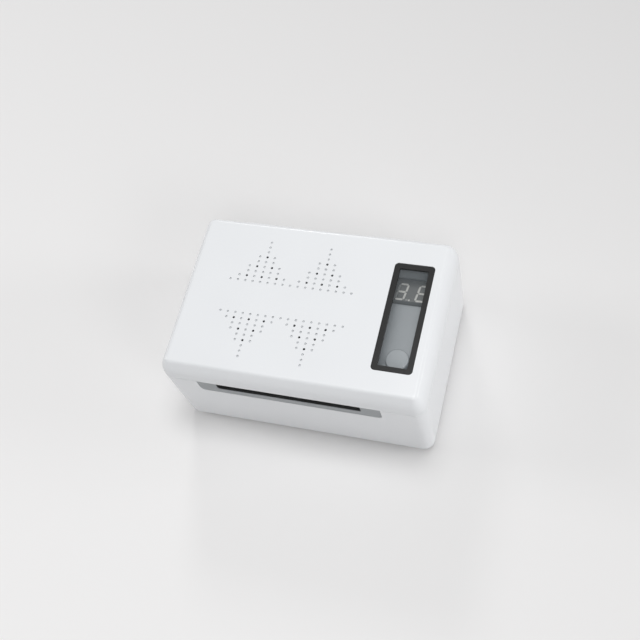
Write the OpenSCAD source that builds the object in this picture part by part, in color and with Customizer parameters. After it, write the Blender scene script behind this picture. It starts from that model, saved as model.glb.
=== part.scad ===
// Hearing aid dryer: a small hinged box with a warm-air chamber, a vented lid and a control panel.
// Millimetres. The origin is the middle of the footprint on the table, +Z is up, the front faces -Y.

/* [Box] */
// Width of the box, left to right
box_w = 100.8; // [94:0.1:120]
// Depth of the box, without the hinge
box_d = 67.9; // [64:0.1:80]
// Height above the table with the lid closed
box_h = 45; // [43:1:55]
// Radius of the upright corners
corner_r = 4.7; // [4.5:0.1:6]
// Radius of the tight round where the top meets the crown
top_edge_r = 1.7; // [1:0.1:2.2]
// How far the crown leans in from the walls
top_reach = 4; // [3:0.1:4.3]
// Height of the crown, from its foot in the walls to the top
crown_h = 8; // [6:0.1:8.2]
// Radius of the round along the bottom edges
base_edge_r = 1.2; // [0.5:0.1:3]
// How far the base's walls lean in towards the bottom
base_lean = 0.45; // [0:0.05:1]
// Thickness of the outer walls
wall = 2.2; // [1.8:0.1:2.6]
// Height of the lid, from the seam to the top
lid_h = 8.6; // [8.4:0.1:9.6]
// Gap of the seam between the base and the lid
seam = 0.15; // [0.1:0.05:0.3]
// Radius of the small round along the seam's two edges
seam_r = 0.15; // [0.1:0.05:0.3]

/* [Vents] */
// Place of the vent field's middle, from the box's middle
vent_x = -8.1; // [-8.7:0.1:-7.8]
// Place of the vent field's middle, from the box's middle towards the back
vent_y = -0.7; // [-2:0.1:2]
// Spacing of the vent columns
vent_pitch_x = 2.97; // [2.6:0.01:3.2]
// Spacing of the vent rows
vent_pitch_y = 2.165; // [1.9:0.005:2.4]
// Distance between the two long rows beside the bare middle band
vent_band = 13.7; // [10:0.1:16]
// Diameter of the vent holes and of the dimples around them
vent_d = 0.95; // [0.7:0.05:1.3]
// Depth of the dimples
dimple_depth = 0.5; // [0.2:0.05:1.2]

/* [Window] */
// Place of the window's middle, from the box's middle
window_x = 36.6; // [35:0.1:37]
// Place of the window's middle, from the box's middle towards the back
window_y = -0.5; // [-2:0.1:2]
// Clear width of the window
window_w = 10.8; // [8:0.1:11.6]
// Clear length of the window
window_l = 39.4; // [34:0.1:42]
// Width of the bezel's frame round the window
bezel_rim = 2.1; // [1.6:0.1:2.4]
// Thickness of the bezel
bezel_t = 0.9; // [0.7:0.05:1.1]
// How far the bezel lies under the lid's top face
bezel_sink = 0.1; // [0.05:0.05:0.3]
// Radius of the bezel's outer corners
bezel_r = 1.5; // [0.8:0.1:2.5]
// Radius of the small round along the bezel's upper edge
bezel_edge_r = 0.2; // [0.1:0.05:0.3]
// Width of the step that carries the bezel
bezel_step = 1; // [0.7:0.1:1.3]
// Clearance round the bezel and the lens
bezel_gap = 0.05; // [0.02:0.01:0.1]

/* [Front notch and slot] */
// Place of the notch and the slot, from the box's middle
notch_x = -1; // [-3:0.1:3]
// Width of the finger notch in the front wall
notch_w = 70.2; // [60:0.2:74]
// Height of the finger notch under the seam
notch_h = 7.2; // [5:0.1:9]
// Radius of the notch's lower corners
notch_r = 2; // [0.5:0.1:2.5]
// Clearance round the deck's lip in the notch
lip_gap = 0.15; // [0.1:0.05:0.3]
// How far the lip lies behind the face of the front wall
lip_sink = 0.15; // [0.05:0.05:0.5]
// Width of the air slot in the deck's lip and rim
slot_w = 55.2; // [40:0.2:59]
// Radius of the slot's lower corners
slot_r = 0.8; // [0.4:0.1:1.2]

/* [Deck and chamber] */
// Depth of the deck under the lid's top face
deck_depth = 12.6; // [11.8:0.1:13.4]
// Thickness of the deck
deck_t = 2; // [1.6:0.1:2.4]
// Thickness of the deck's rim
rim_t = 1.6; // [1.2:0.1:1.9]
// How far the rim stands up into the lid
tongue_h = 1; // [0.6:0.1:1.2]
// Clearance between the deck and the walls
deck_gap = 0.35; // [0.3:0.05:0.5]
// How far the rim reaches down under the deck
skirt_h = 3.5; // [3:0.1:5]
// Width of the drying chamber
chamber_w = 60; // [50:1:62]
// Front to back size of the drying chamber
chamber_d = 46; // [40:1:47]
// Height of the chamber's grille above the table
grille_z = 18.6; // [18.4:0.1:20]
// Radius of the chamber's upright corners
chamber_r = 4; // [2.5:0.5:6]
// Thickness of the chamber's walls
well_t = 1.6; // [1.2:0.1:1.8]
// Thickness of the chamber's lift-out grille
grille_t = 1.4; // [1.2:0.1:2]
// Width of the ledge that carries the grille
ledge_w = 3; // [2:0.5:4]
// Thickness of the ledge
ledge_t = 1.4; // [1:0.1:1.6]
// Width of the grille's slots
grille_slot_w = 2; // [1.2:0.1:2.4]
// Spacing of the grille's slots
grille_pitch = 4; // [3.6:0.1:6]

/* [Display and button] */
// Place of the display and the button, from the box's middle
control_x = 35.4; // [34.8:0.1:36]
// Place of the button, from the box's middle
button_y = -12.4; // [-14:0.1:-8]
// Diameter of the button
button_d = 8.6; // [6:0.1:9]
// How far the button stands above the deck
button_h = 1.6; // [1.2:0.1:2]
// Travel of the button
button_travel = 0.6; // [0.3:0.1:0.7]
// Clearance round the button
button_gap = 0.15; // [0.1:0.05:0.3]
// Width of the display
display_w = 15; // [14:0.1:15.4]
// Front to back size of the display
display_d = 9.2; // [9:0.1:10]
// Place of the display's middle, from the box's middle
display_y = 15.6; // [14:0.1:16]
// How far the display stands above the deck
display_h = 2.6; // [1:0.1:3]
// Height of the display's body
display_body_h = 7; // [6:0.1:8]
// Height of a digit
digit_h = 7.2; // [5:0.1:7.5]
// Width of a digit, without its slant
digit_w = 3.9; // [3:0.1:4.2]
// Distance between the two digits
digit_pitch = 7.6; // [6.5:0.1:7.8]
// Width of a segment
segment_w = 0.75; // [0.4:0.05:0.9]
// Slant of the digits in degrees
digit_slant = 9; // [0:1:10]

/* [Fan and heater] */
// Side of the square fan
fan_w = 30; // [28:1:34]
// Height of the fan
fan_h = 7; // [6.8:0.1:7.2]
// Radius of the fan's duct
duct_r = 14; // [12:0.1:13.9]
// Gap between the blade tips and the duct
tip_gap = 0.6; // [0.4:0.1:1]
// Number of blades
blade_count = 7; // [5:1:9]
// Slant of the blades in degrees
blade_tilt = 42; // [30:1:50]
// Radius of the fan's hub
hub_r = 6; // [5.6:0.1:7]
// Radius of the fan's shaft
shaft_r = 0.75; // [0.5:0.05:0.9]
// Clearance between the shaft and its bearing
shaft_gap = 0.03; // [0.02:0.01:0.06]
// Length of the heater
heater_w = 40; // [34:1:44]
// Front to back size of the heater
heater_d = 22; // [18:1:26]
// Height of the heater
heater_h = 3.6; // [3:0.1:3.8]
// Thickness of a heater fin
fin_t = 0.5; // [0.3:0.1:0.8]
// Spacing of the heater fins
fin_pitch = 2.4; // [1.8:0.1:4]

/* [Hinge] */
// Radius of the hinge barrels
knuckle_r = 1.9; // [1.7:0.1:2.2]
// Width of one hinge barrel
knuckle_w = 6; // [4:0.5:8]
// Gap between hinge barrels
knuckle_gap = 0.25; // [0.2:0.05:0.4]
// Distance of each hinge from the box's middle
hinge_x = 26; // [18:1:30]
// How far the hinge line lies behind the back wall
hinge_out = 0.2; // [0.1:0.05:0.4]
// Radius of the hinge pins
pin_r = 0.75; // [0.6:0.05:0.9]
// Clearance between a hinge pin and its bore
pin_gap = 0.05; // [0.03:0.01:0.08]

/* [Feet, screws and magnets] */
// Diameter of the rubber feet
foot_d = 9; // [7:0.5:10]
// How far the feet stand out
foot_h = 1.5; // [1:0.1:1.7]
// Depth of the feet's pockets
foot_pocket = 0.7; // [0.4:0.1:0.9]
// Distance of the screw posts from the inner faces of the walls
post_inset = 5.4; // [5:0.1:6]
// Radius of the screw posts
post_r = 3.2; // [3:0.1:3.4]
// Radius of a case screw
case_screw_r = 1.1; // [0.9:0.05:1.25]
// Radius of a small screw
small_screw_r = 0.8; // [0.6:0.05:0.9]
// Clearance round a screw in its pilot hole
pilot_gap = 0.05; // [0.03:0.01:0.1]
// Radius of the closing magnets
magnet_r = 2.5; // [2:0.1:2.7]
// Thickness of the closing magnets
magnet_t = 1.8; // [1.2:0.1:2]
// Distance of the magnets from the inner faces of the walls
magnet_inset = 4.8; // [4.5:0.1:5.2]
// Distance of the filter cover's screws from its middle
cover_screw_y = 17; // [12:0.5:22]

/* [Boards] */
// Thickness of the circuit boards
board_t = 1.6; // [1:0.1:1.6]
// Width of the main board
main_board_w = 14.6; // [13:0.1:14.8]
// Height of the main board above the table
main_board_z = 10; // [8:0.5:12]
// Width of the power socket
socket_w = 8.94; // [8:0.02:9.4]
// Height of the power socket
socket_h = 3.26; // [3:0.02:3.6]
// Front to back size of the power socket
socket_d = 7.3; // [6.5:0.1:8]
// Clearance round the power socket in the wall
socket_gap = 0.25; // [0.15:0.05:0.4]

/* [Hidden] */
$fn = 64;
eps = 0.5;

// Levels and inner sizes of the box
box_y = -(hinge_out + knuckle_r) / 2;
seam_z = box_h - lid_h;
lid_z = seam_z + seam;
floor_top = foot_h + wall;
inner_w = box_w - 2 * wall;
inner_d = box_d - 2 * wall;
inner_r = corner_r - wall;
lid_roof = box_h - wall;
lean_band = 0.5;
// The crown is one large arc that ends upright in the wall and meets the tight round at this slant
crown_angle = 2 * atan((crown_h - top_edge_r) / (top_reach - top_edge_r)) - 90;
crown_r = top_edge_r + (crown_h - top_edge_r) / cos(crown_angle);

// Levels and outlines of the deck
deck_top = box_h - deck_depth;
deck_under = deck_top - deck_t;
rim_top = seam_z + tongue_h;
rim_w = inner_w - 2 * deck_gap;
rim_d = inner_d - 2 * deck_gap;
rim_r = inner_r - deck_gap;
lip_front = box_d / 2 - lip_sink;
ledge_top = grille_z - grille_t;
ledge_under = ledge_top - ledge_t;
well_w = chamber_w + 2 * well_t;
well_d = chamber_d + 2 * well_t;
well_right = vent_x + well_w / 2;

// Ears that hang the chamber from the deck, on its front and back walls
ear_w = 7;
ear_d = 4.2;
ear_t = 1.6;
ear_lap = 1;
ear_room = 0.4;
ear_bite = 1.2;
ear_x = chamber_w / 3;
ear_y = well_d / 2 + ear_d / 2;

// Case screws: they rise through the floor posts into the deck's posts
post_x = inner_w / 2 - post_inset;
post_y = inner_d / 2 - post_inset;
post_split = floor_top + 9;
screw_head_r = 2.2 * case_screw_r;
screw_head_h = 1;
screw_sink = 1.2;
small_post_r = 2.4;
case_screw_l = post_split - foot_h - screw_sink + 7;
pilot_depth = 8;

// Hinge line
hinge_y = box_d / 2 + hinge_out;
hinge_z = seam_z + seam / 2;
knuckle_step = knuckle_w + knuckle_gap;
knuckle_clear = 0.3;
bore_r = pin_r + pin_gap;
pin_l = 3 * knuckle_w + 2 * knuckle_gap;

// Closing magnets, in posts at the two front corners
magnet_x = inner_w / 2 - magnet_inset;
magnet_y = -(inner_d / 2 - magnet_inset);
magnet_post_r = magnet_r + 0.9;
magnet_gap = 0.02;
lid_post_z = rim_top + 0.4;

// Feet
foot_x = post_x - foot_d / 2 - 4;
foot_y = post_y;

// Control panel
control_board_w = 16.4;
control_board_z = deck_under - 7;
control_board_front = button_y - 8;
control_board_back = display_y + display_d / 2 + 1.4;
control_board_l = control_board_back - control_board_front;
control_board_y = (control_board_front + control_board_back) / 2;
display_gap = 0.2;
display_hole_back = display_y + display_d / 2 + 1.8;
button_flange = 0.9;
button_flange_t = 0.6;
button_under = deck_under - 0.1 - button_flange_t;
switch_w = 6;
switch_h = 3.5;
plunger_r = 1.7;
plunger_gap = 0.1;
control_post_r = 2;
control_posts = [[control_x - 5.6, 3], [control_x + 5.6, 3], [control_x + 5.6, control_board_front + 2.4]];

// Fan: a square frame on pads, with the rotor on a shaft in the middle
fan_x = vent_x;
fan_z = floor_top + 0.6;
fan_hole = fan_w / 2 - 3;
fan_plate = 1;
blade_r = duct_r - tip_gap;
blade_h = 4;
blade_t = 0.7;
rotor_low = fan_z + fan_plate + 0.4;
rotor_top = fan_z + fan_h - 0.4;
bearing_r = shaft_r + 0.9;
fan_boss_r = bearing_r + 0.7;
fan_boss_top = fan_z + 3.8;
intake_rings = [4.6, 7.6, 10.6];
intake_slot = 1.8;
intake_rib = 1.8;

// Heater: fins in a frame under the chamber's ledge
heater_z = ledge_under - heater_h;
heater_rim = 1.6;
heater_tab = 5;
element_d = 4;

// Ultraviolet lamps in the chamber's right wall
uv_z = (grille_z + deck_under) / 2;
uv_rail_t = 1;
uv_board_t = 1;
uv_board_d = 24;
uv_board_h = deck_under - grille_z - 2 * uv_rail_t - 2;
lamp_w = 3.5;
lamp_gap = 0.1;
lamp_spacing = 14;

// Power socket at the back end of the main board
main_board_x = well_right + 0.8 + main_board_w / 2;
main_board_back = inner_d / 2 - 0.4;
main_board_front = -20;
main_board_l = main_board_back - main_board_front;
main_board_y = (main_board_back + main_board_front) / 2;
main_board_top = main_board_z + board_t;
socket_mouth = box_d / 2 - 0.6;
main_posts = [[main_board_x - 4.6, main_board_front + 3], [main_board_x + 4.6, main_board_front + 3],
    [main_board_x - 4.6, 14]];

// Lid: the filter lies between the roof and its screwed cover
bezel_w = window_w + 2 * bezel_rim;
bezel_l = window_l + 2 * bezel_rim;
lens_w = bezel_w - 2 * bezel_step;
lens_l = bezel_l - 2 * bezel_step;
bezel_depth = bezel_sink + bezel_t;
peak_rows = 9;
peak_half = 4;
field_w = 4 * peak_half * vent_pitch_x;
field_d = vent_band + 2 * (peak_rows - 1) * vent_pitch_y;
filter_margin = 2;
filter_w = field_w + 2 * filter_margin;
filter_d = field_d + 2 * filter_margin;
filter_t = 1.5;
filter_r = 3;
cover_t = 1.5;
cover_bite = 1.6;
cover_z = lid_roof - filter_t - cover_t;
cover_screw_room = 2.8;
cover_left = vent_x - filter_w / 2 - 2 * cover_screw_room;
cover_right = vent_x + filter_w / 2 + 2 * cover_screw_room;
cover_w = cover_right - cover_left;
cover_x = (cover_left + cover_right) / 2;
cover_screw_x = cover_w / 2 - cover_screw_room;
cover_slot_w = 2.2;
cover_pitch = 4.4;

shell_white = [0.91, 0.92, 0.93];
deck_grey = [0.62, 0.64, 0.66];
steel = [0.72, 0.73, 0.75];
black = [0.13, 0.13, 0.13];
board_green = [0.1, 0.32, 0.2];

// Everything is laid out from the box's middle, which lies in front of the footprint's middle
module from_box() {
    translate([0, box_y, 0]) children();
}

// Rectangle with round corners, about the origin
module round_rect(w, d, r) {
    square([w - 2 * r, d], center = true);
    square([w, d - 2 * r], center = true);
    for (x = [-1, 1], y = [-1, 1]) {
        translate([x * (w / 2 - r), y * (d / 2 - r)]) circle(r = r);
    }
}

// Plate with round corners, standing on z = 0
module round_plate(w, d, h, r) {
    linear_extrude(h) round_rect(w, d, r);
}

// What a round of radius r takes off a corner whose tip is the origin
module corner_waste(r) {
    difference() {
        translate([-r, -r]) square(r + eps);
        translate([-r, -r]) circle(r = r);
    }
}

// What the crown takes off such a corner, or off one that lies further in by inset
module crown_waste(inset) {
    small_r = top_edge_r - inset;
    small_x = inset - top_reach;
    large_r = crown_r - inset;
    large_y = inset - crown_h;
    difference() {
        translate([-large_r, large_y]) square([large_r + eps, eps - large_y]);
        translate([-large_r, large_y]) circle(r = large_r);
    }
    if (small_r > 0) {
        meet = [small_x + small_r * sin(crown_angle), small_r * cos(crown_angle) - small_r];
        difference() {
            polygon([[small_x, 0], [small_x, eps], [0, eps], meet]);
            translate([small_x, -small_r]) circle(r = small_r);
        }
    }
}

// Section of a wall block: the child is cut off its top outer corner, and a round off the bottom one.
// Below its top band the outer face leans in by lean.
module edge_profile(h, side_r, base_r, lean) {
    foot = side_r - lean * (1 - base_r / h);
    difference() {
        polygon([[0, 0], [side_r - lean, 0], [side_r, h - lean_band], [side_r, h], [0, h]]);
        translate([side_r, h]) children();
        if (base_r > 0) translate([foot, 0]) mirror([0, 1]) corner_waste(base_r);
    }
}

// Box with round upright corners, standing on z = 0: the child is cut off all along its top edges
module round_box(w, d, h, side_r, base_r, lean) {
    core_w = w - 2 * side_r;
    core_d = d - 2 * side_r;
    translate([-core_w / 2, -core_d / 2, 0]) cube([core_w, core_d, h]);
    for (s = [0, 1]) {
        mirror([0, s, 0]) translate([-core_w / 2, core_d / 2, 0]) rotate([90, 0, 90])
            linear_extrude(core_w) edge_profile(h, side_r, base_r, lean) children();
        mirror([s, 0, 0]) translate([core_w / 2, core_d / 2, 0]) rotate([90, 0, 0])
            linear_extrude(core_d) edge_profile(h, side_r, base_r, lean) children();
    }
    for (quarter = [0 : 3]) {
        x = (quarter == 0 || quarter == 3) ? 1 : -1;
        y = quarter < 2 ? 1 : -1;
        translate([x * core_w / 2, y * core_d / 2, 0]) rotate([0, 0, 90 * quarter])
            rotate_extrude(angle = 90) edge_profile(h, side_r, base_r, lean) children();
    }
}

// Screw with its head's top on z = 0, pointing down
module screw(r, length, head_r, head_h) {
    slot = head_r * 0.28;
    difference() {
        union() {
            translate([0, 0, -head_h]) cylinder(r = head_r, h = head_h);
            translate([0, 0, -head_h - length]) cylinder(r = r, h = length + head_h / 2);
        }
        for (turn = [0, 90]) {
            rotate([0, 0, turn]) translate([-head_r * 0.6, -slot / 2, -head_h * 0.6])
                cube([head_r * 1.2, slot, head_h]);
        }
    }
}

module small_screw(length) {
    screw(small_screw_r, length, 2 * small_screw_r, 0.9);
}

// Places of repeated pieces
module at_posts() {
    for (x = [-1, 1], y = [-1, 1]) translate([x * post_x, y * post_y, 0]) children();
}

module at_feet() {
    for (x = [-1, 1], y = [-1, 1]) translate([x * foot_x, y * foot_y, 0]) children();
}

module at_points(points) {
    for (p = points) translate([p[0], p[1], 0]) children();
}

module at_fan_corners() {
    for (x = [-1, 1], y = [-1, 1]) translate([fan_x + x * fan_hole, y * fan_hole, 0]) children();
}

module at_magnets() {
    for (x = [-1, 1]) translate([x * magnet_x, magnet_y, 0]) children();
}

module at_cover_screws() {
    for (x = [-1, 1], y = [-1, 1]) {
        translate([cover_x + x * cover_screw_x, vent_y + y * cover_screw_y, 0]) children();
    }
}

module at_ears() {
    for (x = [-1, 1], y = [-1, 1]) translate([vent_x + x * ear_x, y * ear_y, 0]) children();
}

module at_heater_tabs() {
    for (x = [-1, 1]) translate([fan_x + x * (heater_w / 2 + heater_tab / 2), 0, 0]) children();
}

// A bar along X on the hinge line of each hinge, as wide as w and moved by dx
module hinge_bar(dx, w, r) {
    for (side = [-1, 1]) {
        translate([side * hinge_x + dx - w / 2, hinge_y, hinge_z]) rotate([0, 90, 0]) cylinder(r = r, h = w);
    }
}

// Room that one part's barrel needs in the other part's back wall
module knuckle_room(dx) {
    room_r = knuckle_r + knuckle_clear;
    room_w = knuckle_w + 2 * knuckle_gap;
    hinge_bar(dx, room_w, room_r);
    for (side = [-1, 1]) {
        translate([side * hinge_x + dx - room_w / 2, inner_d / 2 - eps, hinge_z - room_r])
            cube([room_w, wall + eps + hinge_out, 2 * room_r]);
    }
}

// Places of the base's barrels, each side of the lid's
base_knuckles = [-knuckle_step, knuckle_step];

// Air intake in the floor: rings of slots under the fan
module intake_slots() {
    translate([fan_x, 0, foot_h - eps]) difference() {
        for (r = intake_rings) {
            difference() {
                cylinder(r = r + intake_slot, h = wall + 2 * eps);
                translate([0, 0, -eps]) cylinder(r = r, h = wall + 4 * eps);
            }
        }
        for (turn = [0, 60, 120]) {
            rotate([0, 0, turn]) translate([0, 0, wall / 2 + eps])
                cube([2 * duct_r, intake_rib, wall + 6 * eps], center = true);
        }
    }
}

// Opening for the power socket in the back wall
module socket_hole() {
    translate([main_board_x, inner_d / 2 - eps, main_board_top + socket_h / 2]) rotate([-90, 0, 0])
        linear_extrude(wall + 2 * eps)
            round_rect(socket_w + 2 * socket_gap, socket_h + 2 * socket_gap, socket_h / 2);
}

module base_shell() {
    color(shell_white) from_box() difference() {
        union() {
            difference() {
                translate([0, 0, foot_h])
                    round_box(box_w, box_d, seam_z - foot_h, corner_r, base_edge_r, base_lean) corner_waste(seam_r);
                translate([0, 0, floor_top]) round_plate(inner_w, inner_d, box_h, inner_r);
                knuckle_room(0);
            }
            at_posts() translate([0, 0, floor_top - eps]) cylinder(r = post_r, h = post_split - floor_top + eps);
            at_points(main_posts) translate([0, 0, floor_top - eps])
                cylinder(r = control_post_r, h = main_board_z - floor_top + eps);
            at_fan_corners() translate([0, 0, floor_top - eps])
                cylinder(r = small_post_r, h = fan_z - floor_top + eps);
            for (dx = base_knuckles) hinge_bar(dx, knuckle_w, knuckle_r);
        }
        for (dx = base_knuckles) hinge_bar(dx, knuckle_w + 2 * eps, bore_r);
        translate([notch_x, -inner_d / 2 + eps, seam_z]) rotate([90, 0, 0]) linear_extrude(wall + 2 * eps)
            round_rect(notch_w, 2 * notch_h, notch_r);
        socket_hole();
        intake_slots();
        at_feet() translate([0, 0, foot_h - eps]) cylinder(d = foot_d + 0.2, h = foot_pocket + eps);
        at_posts() {
            translate([0, 0, foot_h - eps]) cylinder(r = screw_head_r + 0.3, h = screw_sink + eps);
            cylinder(r = case_screw_r + 0.3, h = box_h);
        }
        at_points(main_posts) translate([0, 0, floor_top]) cylinder(r = small_screw_r + pilot_gap, h = box_h);
        at_fan_corners() translate([0, 0, foot_h + 0.6]) cylinder(r = small_screw_r + pilot_gap, h = box_h);
    }
}

module rubber_feet() {
    chamfer = 0.3;
    color([0.2, 0.2, 0.21]) from_box() at_feet() {
        cylinder(d1 = foot_d - 2 * chamfer, d2 = foot_d, h = chamfer);
        translate([0, 0, chamfer]) cylinder(d = foot_d, h = foot_h + foot_pocket - chamfer);
    }
}

module case_screws() {
    color(steel) from_box() at_posts() translate([0, 0, foot_h + screw_sink - screw_head_h]) rotate([180, 0, 0])
        screw(case_screw_r, case_screw_l, screw_head_r, screw_head_h);
}

// Lip on the deck's rim that fills the notch in the front wall, up to the seam
module front_lip() {
    lip_w = notch_w - 2 * lip_gap;
    lip_h = notch_h - lip_gap;
    translate([notch_x, -rim_d / 2 + eps, seam_z]) rotate([90, 0, 0])
        linear_extrude(lip_front - rim_d / 2 + eps) difference() {
            round_rect(lip_w, 2 * lip_h, notch_r - lip_gap);
            translate([-lip_w, 0]) square([2 * lip_w, box_h]);
        }
}

// Air slot: it opens the lip and the rim from the deck's top face upwards
module front_slot() {
    slot_h = rim_top - deck_top + slot_r + eps;
    translate([notch_x, -rim_d / 2 + rim_t + eps, deck_top + slot_h / 2]) rotate([90, 0, 0])
        linear_extrude(lip_front - rim_d / 2 + rim_t + 2 * eps) round_rect(slot_w, slot_h, slot_r);
}

// The deck is one moulding: rim, lip, plate and posts
module inner_deck() {
    skirt_z = deck_under - skirt_h;
    color(deck_grey) from_box() difference() {
        union() {
            difference() {
                translate([0, 0, skirt_z]) round_plate(rim_w, rim_d, rim_top - skirt_z, rim_r);
                translate([0, 0, deck_top]) round_plate(rim_w - 2 * rim_t, rim_d - 2 * rim_t, box_h, rim_r - rim_t);
                translate([0, 0, skirt_z - eps])
                    round_plate(rim_w - 2 * rim_t, rim_d - 2 * rim_t, skirt_h + eps, rim_r - rim_t);
            }
            at_posts() translate([0, 0, post_split]) cylinder(r = post_r, h = deck_under - post_split + eps);
            front_lip();
            at_magnets() translate([0, 0, deck_under]) cylinder(r = magnet_post_r, h = rim_top - deck_under);
            at_points(control_posts) translate([0, 0, control_board_z + board_t])
                cylinder(r = control_post_r, h = deck_under - control_board_z - board_t + eps);
            reed_clips();
        }
        translate([vent_x, 0, deck_under - eps]) round_plate(chamber_w, chamber_d, box_h, chamber_r);
        at_ears() translate([0, 0, skirt_z - eps])
            round_plate(ear_w + 2 * ear_room, ear_d + ear_lap + 2 * ear_room, skirt_h + eps, 1);
        front_slot();
        display_hole();
        translate([control_x, button_y, 0]) cylinder(r = button_d / 2 + button_gap, h = box_h);
        at_posts() cylinder(r = case_screw_r + pilot_gap, h = post_split + pilot_depth);
        at_magnets() translate([0, 0, rim_top - magnet_t - 0.1]) cylinder(r = magnet_r + magnet_gap, h = box_h);
        at_points(control_posts) cylinder(r = small_screw_r + pilot_gap, h = control_board_z + board_t + 4);
        at_ears() cylinder(r = small_screw_r + pilot_gap, h = deck_under + deck_t - 0.4);
    }
}

// The chamber is a tub that hangs under the deck, with a ledge at its foot for the grille
module drying_chamber() {
    tub_h = deck_under - ledge_under;
    color(deck_grey) from_box() difference() {
        union() {
            translate([vent_x, 0, ledge_under]) round_plate(well_w, well_d, tub_h, chamber_r + well_t);
            intersection() {
                at_ears() translate([0, 0, deck_under - ear_t]) round_plate(ear_w, ear_d + ear_lap, ear_t, 1);
                round_plate(rim_w, rim_d, box_h, rim_r);
            }
            uv_rails();
        }
        translate([vent_x, 0, ledge_top]) round_plate(chamber_w, chamber_d, box_h, chamber_r);
        translate([vent_x, 0, ledge_under - eps])
            round_plate(chamber_w - 2 * ledge_w, chamber_d - 2 * ledge_w, box_h, chamber_r);
        at_ears() cylinder(r = small_screw_r + 0.2, h = box_h);
        at_heater_tabs() cylinder(r = small_screw_r + pilot_gap, h = ledge_top);
        lamp_holes();
        sensor_bore(sensor_r + 0.05);
    }
}

module chamber_screws() {
    color(steel) from_box() at_ears() translate([0, 0, deck_under - ear_t - 0.9]) rotate([180, 0, 0])
        small_screw(ear_t + ear_bite);
}

// Rails that hold the lamp board against the chamber's right wall
module uv_rails() {
    rail_w = uv_board_t + 1.2;
    for (side = [-1, 1]) {
        rail_z = uv_z + side * (uv_board_h + uv_rail_t) / 2 - uv_rail_t / 2;
        translate([well_right - eps, -uv_board_d / 2, rail_z]) cube([rail_w + eps, uv_board_d, uv_rail_t]);
    }
}

module lamp_holes() {
    for (y = [-lamp_spacing / 2, lamp_spacing / 2]) {
        translate([well_right - well_t / 2, y, uv_z])
            cube([well_t + 2 * eps, lamp_w + 2 * lamp_gap, lamp_w + 2 * lamp_gap], center = true);
    }
}

// Place of the temperature sensor in the chamber's back wall
sensor_r = 1.2;
sensor_x = vent_x + chamber_w / 2 - 9;
sensor_z = (grille_z + deck_under - ear_t) / 2;
module sensor_bore(r) {
    translate([sensor_x, chamber_d / 2 - eps, sensor_z]) rotate([-90, 0, 0]) cylinder(r = r, h = well_t + 2 * eps);
}

// Place of the reed switch under the deck, beside the right magnet
reed_r = 1.1;
reed_l = 10;
reed_x = magnet_x - magnet_post_r - reed_l / 2 - 1;
reed_y = magnet_y;
reed_z = deck_under - reed_r - 0.1;
module reed_clips() {
    for (dx = [-3, 3]) {
        translate([reed_x + dx, reed_y, deck_under]) difference() {
            translate([-0.5, -reed_r - 1, -2 * reed_r - 0.1]) cube([1, 2 * reed_r + 2, 2 * reed_r + 0.1 + eps]);
            translate([-1, 0, reed_z - deck_under]) rotate([0, 90, 0]) cylinder(r = reed_r + 0.05, h = 2);
        }
    }
}

module display_hole() {
    hole_front = display_y - display_d / 2 - display_gap;
    translate([control_x - display_w / 2 - display_gap, hole_front, deck_under - eps])
        cube([display_w + 2 * display_gap, display_hole_back - hole_front, deck_t + 2 * eps]);
}

// Perforated floor of the chamber, with a row of slots and a finger hole
module chamber_grille() {
    fit = 0.3;
    grille_w = chamber_w - 2 * fit;
    grille_d = chamber_d - 2 * fit;
    slots = floor((grille_w - 2 * ledge_w - 4) / grille_pitch / 2);
    slot_l = (grille_d - 2 * ledge_w - 6) / 2;
    color(deck_grey) from_box() translate([vent_x, 0, ledge_top]) difference() {
        round_plate(grille_w, grille_d, grille_t, chamber_r - fit);
        for (i = [-slots : slots], side = [-1, 1]) {
            translate([i * grille_pitch, side * (slot_l / 2 + 1.5), -eps])
                round_plate(grille_slot_w, slot_l, grille_t + 2 * eps, grille_slot_w / 2 - 0.01);
        }
    }
}

module main_board() {
    color(board_green) from_box() translate([0, 0, main_board_z]) difference() {
        translate([main_board_x, main_board_y, 0]) round_plate(main_board_w, main_board_l, board_t, 1);
        at_points(main_posts) translate([0, 0, -eps]) cylinder(r = small_screw_r + 0.2, h = board_t + 2 * eps);
    }
}

// Parts on the main board, as [place, size]: the chip, the coil, two small parts and two connectors
chip = [[0, -3.5], [6, 5, 1.4]];
coil = [[-3.5, 6], [5, 4, 3]];
regulator = [[-5, 0], [3, 2, 1]];
lead_connectors = [[[3.5, -10.5], [6, 4.5, 4.5]], [[-3.5, -10.5], [6, 4.5, 4.5]]];
// Round capacitors, as [place, radius, height]
capacitors = [[[3.5, 3], 2.4, 3], [[3.5, 9], 2, 5]];

module board_components() {
    color(black) from_box() translate([main_board_x, 0, main_board_top]) {
        for (part = concat([chip, coil, regulator], lead_connectors)) {
            translate([part[0][0] - part[1][0] / 2, part[0][1] - part[1][1] / 2, 0]) cube(part[1]);
        }
        for (can = capacitors) translate([can[0][0], can[0][1], 0]) cylinder(r = can[1], h = can[2]);
    }
}

// Metal shell of the socket, open at the back of the box, with its tongue inside
module power_socket() {
    shell_t = 0.3;
    color(steel) from_box()
        translate([main_board_x, socket_mouth - socket_d, main_board_top + socket_h / 2]) rotate([-90, 0, 0]) {
            difference() {
                linear_extrude(socket_d) round_rect(socket_w, socket_h, socket_h / 2 - 0.01);
                translate([0, 0, 1]) linear_extrude(socket_d)
                    round_rect(socket_w - 2 * shell_t, socket_h - 2 * shell_t, socket_h / 2 - shell_t - 0.01);
            }
            translate([-socket_w * 0.37, -0.35, 0.5]) cube([socket_w * 0.74, 0.7, socket_d - 1.3]);
        }
}

module main_board_screws() {
    color(steel) from_box() at_points(main_posts) translate([0, 0, main_board_top + 0.9]) small_screw(5.5);
}

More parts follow.
